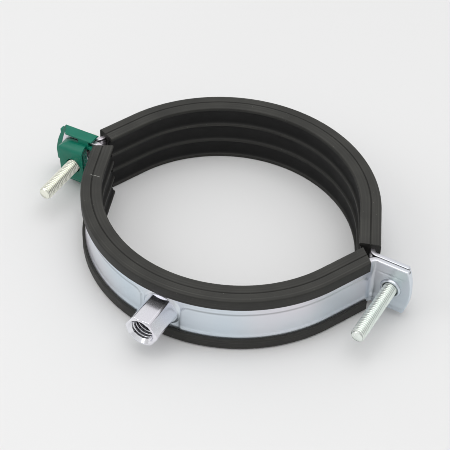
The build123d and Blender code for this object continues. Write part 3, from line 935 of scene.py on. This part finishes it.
def make_clip(material):
    """The plastic clip: its solid's faces joined into one skin, with every outer edge rounded."""
    skin = bmesh.new()
    skin.from_mesh(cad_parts["lock_clip"].data)
    bmesh.ops.remove_doubles(skin, verts=skin.verts, dist=0.002 * MM)
    bmesh.ops.dissolve_limit(skin, angle_limit=radians(1.5), verts=skin.verts, edges=skin.edges)
    edges = [edge for edge in skin.edges if edge.is_convex and edge.calc_face_angle(0) > radians(30)]
    bmesh.ops.bevel(skin, geom=edges, offset=CLIP_EDGE * MM, segments=3, profile=0.5,
                    affect="EDGES", clamp_overlap=True)
    close_tongue(skin)
    mesh = bpy.data.meshes.new("clip")
    skin.to_mesh(mesh)
    skin.free()
    smooth(mesh, 30.0)
    mesh.materials.append(material)
    clip = bpy.data.objects.new("clip", mesh)
    bpy.context.scene.collection.objects.link(clip)
    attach(clip, "lower_half")
    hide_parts("lock_clip")


# ---- stage ---------------------------------------------------------------
FLOOR_SIZE = 8.0
FLOOR_GAP = 0.05

# The camera: its distance and angles, round a point of the floor under the pipe's middle.
CAMERA_DISTANCE = 624.825
CAMERA_ELEVATION = radians(44.41)
CAMERA_AZIMUTH = radians(28.12)
CAMERA_PITCH = radians(43.85)
CAMERA_YAW = radians(-0.24)
CAMERA_ROLL = radians(2.30)
CAMERA_TARGET = (0, 0.5, -LINER_W / 2)
SENSOR_W = 36.0
FOCAL_PIXELS = 1470.96
IMAGE_W = 450

# The room's grey by height, from below to overhead.
SKY = [(0.0, (0.62, 0.62, 0.62)), (0.35, (0.66, 0.66, 0.66)), (1.0, (0.92, 0.92, 0.92))]
SKY_STRENGTH = 1.0


def make_floor():
    """A large pale floor just under the rubber."""
    floor_z = -LINER_W / 2 * MM - FLOOR_GAP * MM
    bpy.ops.mesh.primitive_plane_add(size=FLOOR_SIZE, location=(0, 0, floor_z))
    floor = bpy.context.object
    floor.name = "floor"
    floor.data.materials.append(floor_material())


def make_camera():
    """The camera: it stands on a sphere round its target and is turned by pitch, yaw and roll."""
    eye = Vector((0, -CAMERA_DISTANCE * cos(CAMERA_ELEVATION), CAMERA_DISTANCE * sin(CAMERA_ELEVATION)))
    level = cos(CAMERA_PITCH)
    ahead = Vector((sin(CAMERA_YAW) * level, cos(CAMERA_YAW) * level, -sin(CAMERA_PITCH)))
    right = ahead.cross(Vector((0, 0, 1))).normalized()
    up = right.cross(ahead)
    right_rolled = right * cos(CAMERA_ROLL) + up * sin(CAMERA_ROLL)
    up_rolled = up * cos(CAMERA_ROLL) - right * sin(CAMERA_ROLL)
    basis = Matrix((right_rolled, up_rolled, -ahead)).transposed().to_4x4()
    place = Matrix.Translation(eye * MM)
    swing = Matrix.Rotation(CAMERA_AZIMUTH, 4, "Z")
    shift = Matrix.Translation(Vector(CAMERA_TARGET) * MM)
    data = bpy.data.cameras.new("camera")
    data.sensor_width = SENSOR_W
    data.lens = SENSOR_W * FOCAL_PIXELS / IMAGE_W
    camera = bpy.data.objects.new("camera", data)
    camera.matrix_world = shift @ swing @ place @ basis
    bpy.context.scene.collection.objects.link(camera)
    bpy.context.scene.camera = camera


def add_light(name, place, size, power):
    """A square soft light of that size in metres, aimed at the pipe's middle."""
    data = bpy.data.lights.new(name, "AREA")
    data.shape = "SQUARE"
    data.size = size
    data.energy = power
    light = bpy.data.objects.new(name, data)
    light.location = place
    light.rotation_euler = (-Vector(place)).to_track_quat("-Z", "Y").to_euler()
    bpy.context.scene.collection.objects.link(light)


def make_lights():
    """A white room, brightest overhead and dimmer towards the horizon, with two soft boxes."""
    world = bpy.data.worlds.new("room")
    world.use_nodes = True
    nodes = world.node_tree.nodes
    links = world.node_tree.links
    place = nodes.new("ShaderNodeTexCoord").outputs["Generated"]
    height = nodes.new("ShaderNodeSeparateXYZ")
    links.new(place, height.inputs[0])
    sky = colour_ramp(nodes, links, height.outputs["Z"], SKY)
    links.new(sky, nodes["Background"].inputs["Color"])
    nodes["Background"].inputs["Strength"].default_value = SKY_STRENGTH
    bpy.context.scene.world = world
    add_light("over", (0.05, 0.0, 1.0), size=0.9, power=3.2)
    add_light("left", (-0.6, -0.6, 0.7), size=0.6, power=1.6)


bpy.context.scene.view_settings.view_transform = "Standard"
bpy.context.scene.cycles.filter_width = 0.9
make_camera()
make_lights()
make_floor()
zinc_screw = zinc_material("zinc_screw", SCREW_ZINC, rough_low=0.26, rough_high=0.34)
make_bands(zinc_material("zinc_strap", STRAP_ZINC, rough_low=0.3, rough_high=0.34))
make_liners(rubber_material())
make_nut(zinc_material("zinc_nut", NUT_ZINC, rough_low=0.18, rough_high=0.21))
make_screw("screw_right", "right_screw", "right_fastener", RIGHT_SCREW_X, STRAP_T, zinc_screw)
make_screw("screw_left", "left_screw", "left_fastener", LEFT_SCREW_X, CLIP_BOX_BACK, zinc_screw)
make_clip(plastic_material())
